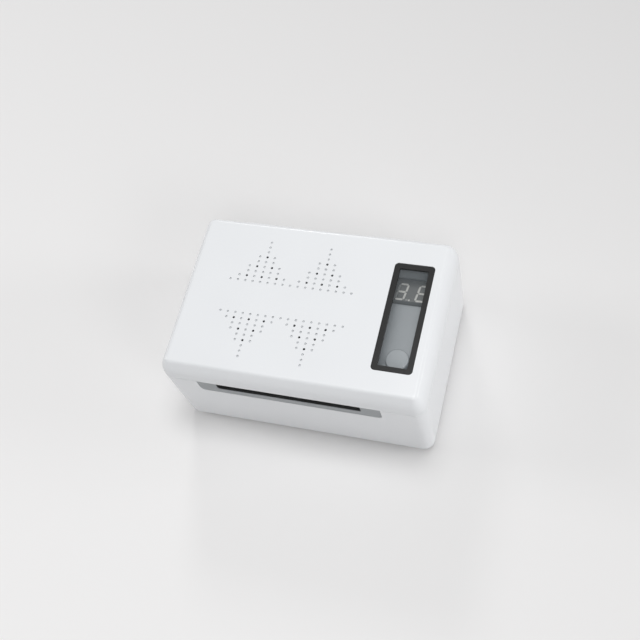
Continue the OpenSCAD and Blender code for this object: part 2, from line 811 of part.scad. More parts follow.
module control_board() {
    color(black) from_box() translate([0, 0, control_board_z]) difference() {
        translate([control_x, control_board_y, 0]) round_plate(control_board_w, control_board_l, board_t, 1);
        at_points(control_posts) translate([0, 0, -eps]) cylinder(r = small_screw_r + 0.2, h = board_t + 2 * eps);
    }
}

module control_board_screws() {
    color(steel) from_box() at_points(control_posts) translate([0, 0, control_board_z - 0.9]) rotate([180, 0, 0])
        small_screw(4.6);
}

// Display: a block on two rows of pins
module display_module() {
    body_z = deck_top + display_h - display_body_h;
    pin_pitch = 2.54;
    color([0.45, 0.45, 0.43]) from_box() translate([control_x, display_y, 0]) {
        translate([-display_w / 2, -display_d / 2, body_z]) cube([display_w, display_d, display_body_h]);
        for (i = [-2 : 2], side = [-1, 1]) {
            translate([i * pin_pitch, side * 3.4, control_board_z + board_t])
                cylinder(r = 0.3, h = body_z - control_board_z - board_t + eps);
        }
    }
}

// Seven-segment digits: a point moves sideways with its height, by the slant
function slant(p) = [p[0] + p[1] * tan(digit_slant), p[1]];
segment_t = 0.1;
segment_gap = 0.12;
cell_w = digit_w - segment_w;
cell_h = (digit_h - segment_w) / 2;

// Pointed bar from a to b, as a six-sided outline
module segment(a, b) {
    along = (b - a) / norm(b - a);
    across = [-along[1], along[0]] * segment_w / 2;
    tip = along * segment_w / 2;
    start = a + along * segment_gap;
    end = b - along * segment_gap;
    linear_extrude(segment_t) polygon([for (p = [start, start + tip + across, end - tip + across, end,
        end - tip - across, start + tip - across]) slant(p)]);
}

// Corner points of a digit's grid, with its middle at the origin
function cell(column, row) = [(column - 0.5) * cell_w, (row - 1) * cell_h];
// Ends of the seven segments: top, upper right, lower right, bottom, lower left, upper left, middle
segment_ends = [[cell(0, 2), cell(1, 2)], [cell(1, 1), cell(1, 2)], [cell(1, 0), cell(1, 1)], [cell(0, 0), cell(1, 0)],
    [cell(0, 0), cell(0, 1)], [cell(0, 1), cell(0, 2)], [cell(0, 1), cell(1, 1)]];
// Lit segments of the two digits, a three and an eight
lit_segments = [[0, 1, 2, 3, 6], [0, 1, 2, 3, 4, 5, 6]];
// Dark segments of the two digits
dark_segments = [[4, 5], []];
digit_y = display_y - 0.8;
decimal_r = 0.42;

module at_digit(place) {
    translate([control_x + (place - 0.5) * digit_pitch, digit_y, deck_top + display_h]) children();
}

module draw_segments(chosen) {
    for (place = [0, 1], s = chosen[place]) {
        at_digit(place) segment(segment_ends[s][0], segment_ends[s][1]);
    }
}

module display_digits() {
    color([0.85, 0.85, 0.82]) from_box() draw_segments(lit_segments);
}

module display_dark_segments() {
    color([0.6, 0.6, 0.58]) from_box() {
        draw_segments(dark_segments);
        for (place = [0, 1]) {
            at_digit(place) translate([digit_w / 2 + 0.35, -digit_h / 2 + decimal_r, 0])
                cylinder(r = decimal_r, h = segment_t);
        }
    }
}

switch_top = control_board_z + board_t + switch_h;
plunger_top = button_under - 0.02;
module tact_switch() {
    color([0.2, 0.2, 0.22]) from_box() translate([control_x, button_y, 0]) difference() {
        translate([-switch_w / 2, -switch_w / 2, control_board_z + board_t]) cube([switch_w, switch_w, switch_h]);
        translate([0, 0, control_board_z + board_t + 0.8]) cylinder(r = plunger_r + plunger_gap, h = switch_h);
    }
}

module switch_plunger() {
    low = switch_top - 2 * button_travel;
    color(black) from_box() translate([control_x, button_y, low]) cylinder(r = plunger_r, h = plunger_top - low);
}

// Button: a disc with a soft edge and a flange that keeps it under the deck
module button_cap() {
    edge = 0.5;
    r = button_d / 2;
    top = deck_top + button_h;
    color([0.84, 0.86, 0.87]) from_box() translate([control_x, button_y, 0]) rotate_extrude() {
        translate([0, button_under]) square([r + button_flange, button_flange_t]);
        translate([0, button_under]) square([r, top - edge - button_under]);
        translate([0, button_under]) square([r - edge, top - button_under]);
        translate([r - edge, top - edge]) circle(r = edge);
    }
}

module fan_frame() {
    color(black) from_box() translate([fan_x, 0, fan_z]) difference() {
        union() {
            difference() {
                round_plate(fan_w, fan_w, fan_h, 2);
                translate([0, 0, -eps]) cylinder(r = duct_r, h = fan_h + 2 * eps);
            }
            cylinder(r = hub_r, h = fan_plate);
            cylinder(r = fan_boss_r, h = fan_boss_top - fan_z);
            for (turn = [30, 150, 270]) {
                rotate([0, 0, turn]) translate([0, -1.1, 0]) cube([duct_r + 0.4, 2.2, fan_plate]);
            }
        }
        translate([0, 0, fan_plate / 2]) cylinder(r = bearing_r, h = fan_h);
        for (x = [-1, 1], y = [-1, 1]) {
            translate([x * fan_hole, y * fan_hole, -eps]) cylinder(r = small_screw_r + 0.2, h = fan_h + 2 * eps);
            translate([x * fan_hole, y * fan_hole, fan_h - 1]) cylinder(r = 2 * small_screw_r + 0.2, h = 2);
        }
    }
}

module fan_bearing() {
    low = fan_z + fan_plate / 2;
    color([0.75, 0.6, 0.3]) from_box() translate([fan_x, 0, low]) difference() {
        cylinder(r = bearing_r - 0.01, h = fan_boss_top - low);
        translate([0, 0, 0.4]) cylinder(r = shaft_r + shaft_gap, h = fan_h);
    }
}

// Wound poles round the bearing boss
module fan_stator() {
    outer = hub_r - 1.9;
    low = fan_z + fan_plate;
    color([0.7, 0.4, 0.2]) from_box() translate([fan_x, 0, low]) difference() {
        union() {
            cylinder(r = fan_boss_r + 0.8, h = 2.4);
            for (turn = [0 : 90 : 270]) {
                rotate([0, 0, turn]) translate([0, -0.9, 0.3]) cube([outer - 0.3, 1.8, 1.8]);
                rotate([0, 0, turn]) intersection() {
                    difference() {
                        cylinder(r = outer, h = 2.4);
                        translate([0, 0, -eps]) cylinder(r = outer - 0.6, h = 2.4 + 2 * eps);
                    }
                    translate([0, -1.6, 0]) cube([hub_r, 3.2, 2.4]);
                }
            }
        }
        translate([0, 0, -eps]) cylinder(r = fan_boss_r + 0.01, h = fan_h);
    }
}

module fan_screws() {
    color(steel) from_box() at_fan_corners() translate([0, 0, fan_z + fan_h - 0.1]) small_screw(fan_h + 0.4);
}

// Rotor: a cup over the stator, with slanted blades cut to the duct's round
module fan_rotor() {
    cup_h = rotor_top - rotor_low;
    cup_t = 1;
    color([0.2, 0.2, 0.21]) from_box() translate([fan_x, 0, rotor_low]) difference() {
        union() {
            cylinder(r = hub_r, h = cup_h);
            intersection() {
                cylinder(r = blade_r, h = blade_h);
                for (i = [0 : blade_count - 1]) {
                    rotate([0, 0, i * 360 / blade_count]) translate([hub_r - 1.5, 0, blade_h / 2])
                        rotate([blade_tilt, 0, 0]) translate([0, -blade_t / 2, -blade_h])
                            cube([duct_r, blade_t, 2 * blade_h]);
                }
            }
        }
        translate([0, 0, -eps]) cylinder(r = hub_r - cup_t, h = cup_h - cup_t + eps);
        cylinder(r = shaft_r + 0.01, h = cup_h + eps);
    }
}

module fan_shaft() {
    low = fan_z + fan_plate / 2 + 0.6;
    color(steel) from_box() translate([fan_x, 0, low]) cylinder(r = shaft_r, h = rotor_top - low);
}

// Frame round the heater, with a screw tab at each end
module heater_frame() {
    color(black) from_box() translate([fan_x, 0, heater_z]) difference() {
        union() {
            translate([-heater_w / 2, -heater_d / 2, 0]) cube([heater_w, heater_d, heater_h]);
            for (x = [-1, 1]) {
                translate([x * (heater_w / 2 + heater_tab / 2), 0, heater_h - 1.2]) round_plate(heater_tab + 2, 6, 1.2, 1);
            }
        }
        translate([-heater_w / 2 + heater_rim, -heater_d / 2 + heater_rim, -eps])
            cube([heater_w - 2 * heater_rim, heater_d - 2 * heater_rim, heater_h + 2 * eps]);
        for (x = [-1, 1]) {
            translate([x * (heater_w / 2 + heater_tab / 2), 0, 0]) cylinder(r = small_screw_r + 0.2, h = heater_h + eps);
        }
    }
}

// Fins on both sides of the heating element, joined by two rails at the element
module heater_fins() {
    room_w = heater_w - 2 * heater_rim - 0.4;
    room_d = heater_d - 2 * heater_rim - 0.4;
    rail_t = 0.6;
    fin_d = (room_d - element_d) / 2;
    count = floor((room_w - fin_t) / fin_pitch / 2);
    color([0.78, 0.79, 0.8]) from_box() translate([fan_x, 0, heater_z + 0.2]) {
        for (side = [-1, 1]) {
            translate([-room_w / 2, side * (element_d / 2 + rail_t / 2) - rail_t / 2, 0])
                cube([room_w, rail_t, heater_h - 0.4]);
            for (i = [-count : count]) {
                translate([i * fin_pitch - fin_t / 2, side * (element_d / 2 + fin_d / 2) - fin_d / 2, 0])
                    cube([fin_t, fin_d, heater_h - 0.4]);
            }
        }
    }
}

module heater_element() {
    room_w = heater_w - 2 * heater_rim - 0.4;
    color([0.6, 0.55, 0.5]) from_box() translate([fan_x, 0, heater_z + heater_h / 2])
        cube([room_w, element_d, heater_h - 1], center = true);
}

module heater_screws() {
    color(steel) from_box() at_heater_tabs() translate([0, 0, heater_z + heater_h - 1.2 - 0.9])
        rotate([180, 0, 0]) small_screw(1.2 + ledge_t);
}

module uv_board() {
    color([0.85, 0.86, 0.85]) from_box()
        translate([well_right, -uv_board_d / 2 + 0.1, uv_z - uv_board_h / 2 + 0.05])
            cube([uv_board_t, uv_board_d - 0.2, uv_board_h - 0.1]);
}

module uv_lamps() {
    color([0.7, 0.65, 0.9]) from_box() for (y = [-lamp_spacing / 2, lamp_spacing / 2]) {
        translate([well_right - 1.1, y - lamp_w / 2, uv_z - lamp_w / 2]) cube([1.1, lamp_w, lamp_w]);
    }
}

// Bead on a stem that passes through the chamber's back wall
module temperature_sensor() {
    stem_l = well_t + 2.6;
    color([0.25, 0.25, 0.28]) from_box() translate([sensor_x, chamber_d / 2 - 1.4, sensor_z]) {
        rotate([-90, 0, 0]) cylinder(r = sensor_r, h = stem_l);
        sphere(r = sensor_r);
    }
}

module reed_switch() {
    color([0.55, 0.7, 0.6]) from_box() translate([reed_x - reed_l / 2, reed_y, reed_z]) rotate([0, 90, 0]) {
        cylinder(r = reed_r, h = reed_l);
    }
}

module base_magnets() {
    color(steel) from_box() at_magnets() translate([0, 0, rim_top - magnet_t - 0.1])
        cylinder(r = magnet_r, h = magnet_t);
}

module hinge_pins() {
    color(steel) from_box() hinge_bar(0, pin_l, pin_r);
}

// Half-width of a vent row in columns, from the peak's tip to its long base row
function row_half(row) = row < peak_rows - 1 ? max(0, floor((row - 1) / 2)) : peak_half;
// A vent is a hole at every second place of every second row, and a dimple elsewhere
function is_hole(row, column) = row % 2 == 1 && row > 2 && column % 2 == (row - 3) / 2 % 2
    && abs(column) <= (row - 3) / 2;

// The four peaks: two side by side behind the bare band, and two mirrored in front of it
module at_vents(holes) {
    for (peak = [-1, 1], side = [0, 1], row = [0 : peak_rows - 1]) {
        for (column = [-row_half(row) : row_half(row)]) {
            shared = column == peak_half && peak == -1;
            if (is_hole(row, abs(column)) == holes && !shared) {
                x = vent_x + (peak * peak_half + column) * vent_pitch_x;
                dy = vent_band / 2 + (peak_rows - 1 - row) * vent_pitch_y;
                translate([x, vent_y + (side == 0 ? dy : -dy), 0]) children();
            }
        }
    }
}

module lid_shell() {
    lid_body_h = box_h - lid_z;
    color(shell_white) from_box() difference() {
        union() {
            difference() {
                translate([0, 0, lid_z]) round_box(box_w, box_d, lid_body_h, corner_r, seam_r, 0) crown_waste(0);
                translate([0, 0, lid_z - eps])
                    round_box(inner_w, inner_d, lid_roof - lid_z + eps, inner_r, 0, 0) crown_waste(wall);
                for (dx = base_knuckles) knuckle_room(dx);
            }
            at_magnets() translate([0, 0, lid_post_z]) cylinder(r = magnet_post_r, h = lid_roof - lid_post_z + eps);
            at_cover_screws() translate([0, 0, cover_z + cover_t])
                cylinder(r = small_post_r, h = lid_roof - cover_z - cover_t + eps);
            hinge_bar(0, knuckle_w, knuckle_r);
        }
        hinge_bar(0, knuckle_w + 2 * eps, bore_r);
        at_magnets() translate([0, 0, lid_post_z - eps]) cylinder(r = magnet_r + magnet_gap, h = magnet_t + 0.1 + eps);
        at_cover_screws() translate([0, 0, cover_z]) cylinder(r = small_screw_r + pilot_gap, h = box_h - 0.9 - cover_z);
        translate([window_x, window_y, box_h - bezel_depth])
            round_plate(bezel_w + 2 * bezel_gap, bezel_l + 2 * bezel_gap, bezel_depth + eps, bezel_r);
        translate([window_x, window_y, lid_roof - eps])
            round_plate(lens_w + 2 * bezel_gap, lens_l + 2 * bezel_gap, wall + 2 * eps, bezel_r / 2);
        at_vents(true) translate([0, 0, lid_roof - eps]) cylinder(d = vent_d, h = wall + 2 * eps, $fn = 24);
        at_vents(false) translate([0, 0, box_h - dimple_depth]) cylinder(d = vent_d, h = 1, $fn = 24);
    }
}

module window_bezel() {
    color(black) from_box() translate([window_x, window_y, box_h - bezel_depth]) difference() {
        round_box(bezel_w, bezel_l, bezel_t, bezel_r, 0, 0) corner_waste(bezel_edge_r);
        translate([0, 0, -eps]) round_plate(window_w, window_l, bezel_t + 2 * eps, bezel_r / 3);
    }
}

module window_lens() {
    color([0.8, 0.88, 0.92, 0.4]) from_box() translate([window_x, window_y, lid_roof])
        round_plate(lens_w, lens_l, wall - bezel_depth, bezel_r / 2);
}

module dust_filter() {
    color([0.75, 0.76, 0.76]) from_box() translate([vent_x, vent_y, lid_roof - filter_t])
        round_plate(filter_w, filter_d, filter_t, filter_r);
}

// Slotted plate that holds the filter up
module filter_cover() {
    slots = floor((filter_w - 6) / cover_pitch / 2);
    color(deck_grey) from_box() translate([0, 0, cover_z]) difference() {
        translate([cover_x, vent_y, 0]) round_plate(cover_w, filter_d, cover_t, filter_r);
        for (i = [-slots : slots]) {
            translate([vent_x + i * cover_pitch, vent_y, -eps])
                round_plate(cover_slot_w, filter_d - 8, cover_t + 2 * eps, cover_slot_w / 2 - 0.01);
        }
        at_cover_screws() translate([0, 0, -eps]) cylinder(r = small_screw_r + 0.2, h = cover_t + 2 * eps);
    }
}

module filter_cover_screws() {
    color(steel) from_box() at_cover_screws() translate([0, 0, cover_z - 0.9]) rotate([180, 0, 0])
        small_screw(cover_t + cover_bite);
}

module lid_magnets() {
    color(steel) from_box() at_magnets() translate([0, 0, lid_post_z + 0.1]) cylinder(r = magnet_r, h = magnet_t);
}

base_shell();
rubber_feet();
case_screws();
inner_deck();
drying_chamber();
chamber_screws();
chamber_grille();
main_board();
board_components();
power_socket();
main_board_screws();
control_board();
control_board_screws();
display_module();
display_digits();
display_dark_segments();
tact_switch();
fan_frame();
fan_bearing();
fan_stator();
fan_screws();
heater_frame();
heater_fins();
heater_element();
heater_screws();
uv_board();
uv_lamps();
temperature_sensor();
reed_switch();
base_magnets();
hinge_pins();
fan_rotor();
fan_shaft();
button_cap();
switch_plunger();
lid_shell();
window_bezel();
window_lens();
dust_filter();
filter_cover();
filter_cover_screws();
lid_magnets();
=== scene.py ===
"""Looks of the hearing aid dryer: finishes, felt, small fitted details, table, lamps and camera."""

import math

import bmesh
import bpy
from mathutils import Matrix, Vector, noise


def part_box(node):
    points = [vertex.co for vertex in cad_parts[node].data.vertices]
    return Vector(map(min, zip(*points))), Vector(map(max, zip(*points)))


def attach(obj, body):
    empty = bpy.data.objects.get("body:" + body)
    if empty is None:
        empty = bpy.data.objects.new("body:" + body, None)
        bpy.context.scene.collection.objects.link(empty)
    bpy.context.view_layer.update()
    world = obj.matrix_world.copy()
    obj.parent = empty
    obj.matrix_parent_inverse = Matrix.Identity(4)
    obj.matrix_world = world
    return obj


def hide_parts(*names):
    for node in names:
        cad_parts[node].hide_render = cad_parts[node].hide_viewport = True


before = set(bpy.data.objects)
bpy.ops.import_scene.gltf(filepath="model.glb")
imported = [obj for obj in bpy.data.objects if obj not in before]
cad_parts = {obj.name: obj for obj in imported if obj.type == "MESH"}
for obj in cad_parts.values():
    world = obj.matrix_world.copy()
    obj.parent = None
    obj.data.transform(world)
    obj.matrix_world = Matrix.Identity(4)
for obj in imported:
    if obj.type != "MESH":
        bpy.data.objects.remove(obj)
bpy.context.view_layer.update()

MM = 0.001

# Camera, solved from the regular grid of vents in the photograph
PHOTO_PX = 640
FOCAL_PX = 1007.95
SENSOR = 36.0
NEAREST_SEEN = 0.01
CAMERA_AT = Vector((107.6, -156.915, 362.95)) * MM
CAMERA_RIGHT = Vector((0.9522, 0.2397, -0.1892))
CAMERA_UP = Vector((-0.1309, 0.8802, 0.4562))


def add_camera():
    data = bpy.data.cameras.new("camera")
    data.sensor_width = SENSOR
    data.lens = SENSOR * FOCAL_PX / PHOTO_PX
    data.clip_start = NEAREST_SEEN
    camera = bpy.data.objects.new("camera", data)
    bpy.context.scene.collection.objects.link(camera)
    right = CAMERA_RIGHT.normalized()
    back = right.cross(CAMERA_UP).normalized()
    up = back.cross(right)
    turn = Matrix((right, up, back)).transposed().to_4x4()
    camera.matrix_world = Matrix.Translation(CAMERA_AT) @ turn
    bpy.context.scene.camera = camera


# Materials

# Noise hardly leaves this band, so what is spread over it never clips to islands
NOISE_LOW, NOISE_HIGH = 0.2, 0.8
# Where a mix node keeps its two colours and its result
MIX_OUTSIDE, MIX_INSIDE, MIX_RESULT = 6, 7, 2


class Nodes:
    """Builds one material's node tree in short calls."""

    def __init__(self, name):
        self.material = bpy.data.materials.new(name)
        self.material.use_nodes = True
        self.tree = self.material.node_tree
        self.shader = self.tree.nodes["Principled BSDF"]
        self.place = self.tree.nodes.new("ShaderNodeTexCoord").outputs["Object"]

    def link(self, a, b):
        self.tree.links.new(a, b)

    def noise(self, size, detail=3.0, roughness=0.5):
        node = self.tree.nodes.new("ShaderNodeTexNoise")
        node.inputs["Scale"].default_value = 1.0 / size
        node.inputs["Detail"].default_value = detail
        node.inputs["Roughness"].default_value = roughness
        self.link(self.place, node.inputs["Vector"])
        return node.outputs["Fac"]

    def cell_edges(self, size):
        """Distance to the nearest edge between irregular cells of about this size."""
        node = self.tree.nodes.new("ShaderNodeTexVoronoi")
        node.feature = "DISTANCE_TO_EDGE"
        node.inputs["Scale"].default_value = 1.0 / size
        self.link(self.place, node.inputs["Vector"])
        return node.outputs["Distance"]

    def ramp(self, value, stops):
        """Colour for each value, between stops given as (value, colour)."""
        node = self.tree.nodes.new("ShaderNodeValToRGB")
        ramp = node.color_ramp
        while len(ramp.elements) < len(stops):
            ramp.elements.new(0.5)
        for element, (at, color) in zip(ramp.elements, stops):
            element.position = at
            element.color = (*color, 1.0)
        self.link(value, node.inputs["Fac"])
        return node.outputs["Color"]

    def spread(self, value, least, most):
        """Stretches a noise value over the range from least to most."""
        node = self.tree.nodes.new("ShaderNodeMapRange")
        node.clamp = False
        ends = {"From Min": NOISE_LOW, "From Max": NOISE_HIGH, "To Min": least, "To Max": most}
        for name, end in ends.items():
            node.inputs[name].default_value = end
        self.link(value, node.inputs["Value"])
        return node.outputs["Result"]

    def mix(self, mask, outside, inside):
        """The socket outside where the mask is 0, and the colour inside where it is 1."""
        node = self.tree.nodes.new("ShaderNodeMix")
        node.data_type = "RGBA"
        self.link(mask, node.inputs["Factor"])
        self.link(outside, node.inputs[MIX_OUTSIDE])
        node.inputs[MIX_INSIDE].default_value = (*inside, 1.0)
        return node.outputs[MIX_RESULT]

    def math(self, operation, a, b):
        """Result of an operation on two operands, each a number or a socket."""
        node = self.tree.nodes.new("ShaderNodeMath")
        node.operation = operation
        for socket, value in zip(node.inputs, (a, b)):
            if isinstance(value, (int, float)):
                socket.default_value = value
            else:
                self.link(value, socket)
        return node.outputs["Value"]

    def within(self, low, high):
        """1 within the box from low to high, else 0."""
        split = self.tree.nodes.new("ShaderNodeSeparateXYZ")
        self.link(self.place, split.inputs["Vector"])
        mask = None
        for axis, least, most in zip(split.outputs, low, high):
            for test in (self.math("GREATER_THAN", axis, least), self.math("LESS_THAN", axis, most)):
                mask = test if mask is None else self.math("MULTIPLY", mask, test)
        return mask

    def bump(self, height, depth):
        node = self.tree.nodes.new("ShaderNodeBump")
        node.inputs["Distance"].default_value = depth
        node.inputs["Strength"].default_value = 1.0
        self.link(height, node.inputs["Height"])
        self.link(node.outputs["Normal"], self.shader.inputs["Normal"])

    def set(self, **values):
        """Sets the shader's inputs. A name has _ in place of each space."""
        for name, value in values.items():
            self.shader.inputs[name.replace("_", " ")].default_value = value


def grey(value):
    return (value, value, value)


def shade(color, factor):
    return tuple(c * factor for c in color)


def plastic(name, color, rough, grain=0.3 * MM, depth=0.0012 * MM, specular=0.5, patches=0.03, zones=()):
    """Moulded plastic: a fine eroded grain, slow drift of tone and patches of handling sheen.

    A zone is a box, given by its low and high corner, and the colour inside it. A later zone lies
    over an earlier one.
    """
    drift, drift_size, patch_size = 0.015, 25 * MM, 15 * MM
    n = Nodes(name)
    tones = [(NOISE_LOW, shade(color, 1 - drift)), (NOISE_HIGH, shade(color, 1 + drift))]
    surface = n.ramp(n.noise(drift_size, 1.0), tones)
    for low, high, inner in zones:
        surface = n.mix(n.within(low, high), surface, inner)
    n.link(surface, n.shader.inputs["Base Color"])
    if patches:
        sheen = n.spread(n.noise(patch_size, 2.0), rough - patches, rough + patches)
        n.link(sheen, n.shader.inputs["Roughness"])
    n.set(Roughness=rough, Specular_IOR_Level=specular)
    n.bump(n.noise(grain, 1.0), depth)
    return n.material


def metal(name, color, rough):
    """Bare or plated metal with a drawn grain."""
    stretch, grain_size, relief = 12.0, 0.3 * MM, 0.003 * MM
    n = Nodes(name)
    mapping = n.tree.nodes.new("ShaderNodeMapping")
    mapping.inputs["Scale"].default_value = (1.0, 1.0, stretch)
    n.link(n.place, mapping.inputs["Vector"])
    n.place = mapping.outputs["Vector"]
    grain = n.noise(grain_size)
    tones = [(0.3, shade(color, 0.92)), (0.7, shade(color, 1.05))]
    sheen = [(0.2, grey(rough - 0.06)), (0.8, grey(rough + 0.08))]
    n.link(n.ramp(grain, tones), n.shader.inputs["Base Color"])
    n.link(n.ramp(grain, sheen), n.shader.inputs["Roughness"])
    n.set(Metallic=1.0)
    n.bump(grain, relief)
    return n.material


def clear_plastic(name, color, alpha):
    """Clear plastic with a faint haze."""
    haze_size, clearest, haziest = 6 * MM, 0.04, 0.10
    n = Nodes(name)
    n.link(n.spread(n.noise(haze_size), clearest, haziest), n.shader.inputs["Roughness"])
    n.set(Base_Color=(*color, 1.0), Alpha=alpha)
    n.material.blend_method = "BLEND"
    return n.material


def board(name, color, track):
    """Circuit board: solder mask with tracks that show through it as faint ridges."""
    pitch, half_width, foot, relief = 2.2 * MM, 0.09, 0.12, 0.02 * MM
    mask_grain, smoothest, roughest = 3 * MM, 0.28, 0.4
    n = Nodes(name)
    lines = n.cell_edges(pitch)
    tones = [(0.0, track), (half_width, track), (foot, color)]
    n.link(n.ramp(lines, tones), n.shader.inputs["Base Color"])
    n.link(n.spread(n.noise(mask_grain), smoothest, roughest), n.shader.inputs["Roughness"])
    n.bump(n.ramp(lines, [(0.0, grey(1.0)), (foot, grey(0.0))]), relief)
    return n.material


def fibres(name, color):
    """Pressed felt: crossing fibres in light and dark grey."""
    fibre, relief = 0.35 * MM, 0.12 * MM
    n = Nodes(name)
    fine = n.noise(fibre, 6.0, 0.75)
    tones = [(0.3, shade(color, 0.55)), (0.7, shade(color, 1.3))]
    n.link(n.ramp(fine, tones), n.shader.inputs["Base Color"])
    n.set(Roughness=0.95, Specular_IOR_Level=0.1, Sheen_Weight=0.3)
    n.bump(fine, relief)
    return n.material


# The front air slot, cut in the deck's lip, whose inner faces get near-black painted shade. A zone stops
# this far from the face that it ends at.
SLOT_LEFT, SLOT_RIGHT = -28.65 * MM, 26.65 * MM
SLOT_SILL = 32.4 * MM
SLOT_DEPTH = 3.6 * MM
LIP_SKIN = 0.2 * MM
LIP_TONE = 0.72
ZONE_GAP = 0.02 * MM


def deck_zones(color, dark):
    """The lip's face is darker than the deck, and the slot's inner faces are painted near black as shade
    inside the slot.
    """
    low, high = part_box("inner_deck")
    lip_edge = low.y + LIP_SKIN
    lip = ((low.x, low.y - MM, low.z), (high.x, lip_edge, high.z + MM), shade(color, LIP_TONE))
    # The box of near-black painted shade inside the slot
    slot_low = (SLOT_LEFT, lip_edge, SLOT_SILL - ZONE_GAP)
    slot_high = (SLOT_RIGHT, lip_edge + SLOT_DEPTH, high.z - ZONE_GAP)
    return lip, (slot_low, slot_high, dark)


# The vent field in the lid's top, with painted shade in its dimples and vents
VENTS_LEFT, VENTS_RIGHT = -37 * MM, 21 * MM
VENTS_REACH = 26.5 * MM
VENT_SKIN, DIMPLE_DEEP, VENT_DEEP = 0.05 * MM, 0.55 * MM, 1.6 * MM
# Painted shade: how far the white is darkened in the dimples and in the vents below them
DIMPLE_SHADE, VENT_SHADE = 0.86, 0.25


def vent_shade_zones(color):
    """Painted shade: the white is darkened a little in the vents and dimples, and much more in the vents
    below the dimples.
    """
    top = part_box("lid_shell")[1].z
    levels = ((DIMPLE_DEEP, VENT_SKIN, DIMPLE_SHADE), (VENT_DEEP, DIMPLE_DEEP, VENT_SHADE))
    zones = []
    for bottom, ceiling, tone in levels:
        low = (VENTS_LEFT, -VENTS_REACH, top - bottom)
        high = (VENTS_RIGHT, VENTS_REACH, top - ceiling)
        zones.append((low, high, shade(color, tone)))
    return zones


# Finishes

WHITE = (0.80, 0.815, 0.835)
DECK = (0.45, 0.475, 0.495)

# The vents and dimples in the shell get painted shade.
shell = plastic("shell_white", WHITE, 0.26, patches=0, zones=vent_shade_zones(WHITE))
# The slot's inner faces get near-black painted shade.
deck = plastic("deck_grey", DECK, 0.45, zones=deck_zones(DECK, grey(0.03)))
inner_grey = plastic("liner_grey", DECK, 0.5)
bezel = plastic("bezel_black", grey(0.013), 0.35, specular=0.36)
lens = clear_plastic("lens_clear", (0.55, 0.62, 0.66), 0.06)
button = plastic("button_grey", (0.53, 0.56, 0.58), 0.4)
black = plastic("black_plastic", grey(0.02), 0.5)
rubber = plastic("foot_rubber", grey(0.03), 0.75, grain=0.5 * MM, depth=0.01 * MM)
steel = metal("screw_steel", (0.6, 0.6, 0.62), 0.3)
nickel = metal("magnet_nickel", (0.65, 0.65, 0.65), 0.18)
green = board("board_green", (0.008, 0.07, 0.03), (0.015, 0.12, 0.05))
board_black = board("board_black", grey(0.01), grey(0.022))
board_white = board("board_white", grey(0.68), grey(0.76))
display = plastic("display_face", (0.14, 0.14, 0.135), 0.45)
lit = plastic("segment_lit", (0.72, 0.71, 0.67), 0.35)
dark = plastic("segment_dark", (0.31, 0.31, 0.30), 0.35)
bronze = metal("bearing_bronze", (0.55, 0.36, 0.15), 0.4)
copper = metal("winding_copper", (0.6, 0.25, 0.1), 0.3)
aluminium = metal("fin_aluminium", (0.75, 0.76, 0.77), 0.3)
ceramic = plastic("element_ceramic", (0.35, 0.27, 0.2), 0.6)
lamp = plastic("lamp_window", (0.55, 0.5, 0.75), 0.15)
lamp_dome = clear_plastic("lamp_dome", (0.75, 0.72, 0.95), 0.45)
gold = metal("contact_gold", (0.85, 0.6, 0.22), 0.25)
glass = plastic("reed_glass", (0.25, 0.42, 0.32), 0.12)
felt = fibres("filter_felt", grey(0.22))


def dress(material, *names):
    """Gives CAD nodes their material."""
    for name in names:
        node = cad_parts[name]
        if not node.material_slots:
            node.data.materials.append(material)
        for slot in node.material_slots:
            slot.material = material


dress(shell, "base_shell", "lid_shell")
dress(deck, "inner_deck")
dress(inner_grey, "drying_chamber", "chamber_grille", "filter_cover")
dress(bezel, "window_bezel")
dress(lens, "window_lens")
dress(button, "button_cap")
dress(black, "board_components", "tact_switch", "switch_plunger", "temperature_sensor")
dress(black, "fan_frame", "fan_rotor", "heater_frame")
dress(rubber, "rubber_feet")
dress(steel, "case_screws", "chamber_screws", "main_board_screws", "control_board_screws")
dress(steel, "fan_screws", "heater_screws", "filter_cover_screws")
dress(steel, "hinge_pins", "fan_shaft", "power_socket")
dress(nickel, "base_magnets", "lid_magnets")
dress(green, "main_board")
dress(board_black, "control_board")
dress(board_white, "uv_board")
dress(display, "display_module")
dress(lit, "display_digits")
dress(dark, "display_dark_segments")
dress(bronze, "fan_bearing")
dress(copper, "fan_stator")
dress(aluminium, "heater_fins")
dress(ceramic, "heater_element")
dress(lamp, "uv_lamps")
dress(glass, "reed_switch")
dress(felt, "dust_filter")


# Fitted pieces


def add_piece(name, bm, material, body, smooth=True):
    """Makes a mesh object of bm that moves with a CAD body."""
    bmesh.ops.recalc_face_normals(bm, faces=bm.faces)
    mesh = bpy.data.meshes.new(name)
    bm.to_mesh(mesh)
    bm.free()
    for polygon in mesh.polygons:
        polygon.use_smooth = smooth
    mesh.materials.append(material)
    piece = bpy.data.objects.new(name, mesh)
    bpy.context.scene.collection.objects.link(piece)
    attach(piece, body)
    return piece


def felt_sheet(bm, low, high, columns, rows, side):
    """Grid of points over one face of the felt. It falls off softly to the edge and is uneven."""
    edge, fall_depth, nap, nap_size = 0.6 * MM, 0.92, 0.14 * MM, 1.3 * MM
    size, middle = high - low, (low + high) / 2
    sheet = []
    for j in range(rows + 1):
        line = []
        for i in range(columns + 1):
            x, y = low.x + size.x * i / columns, low.y + size.y * j / rows
            to_rim = min(x - low.x, high.x - x, y - low.y, high.y - y)
            fall = max(0.0, 1 - to_rim / edge)
            half = size.z / 2 - nap
            half *= math.sqrt(max(0.0, 1 - (fall_depth * fall) ** 2))
            half += nap * noise.noise(Vector((x, y, side)) / nap_size)
            line.append(bm.verts.new((x, y, middle.z + side * half)))
        sheet.append(line)
    return sheet


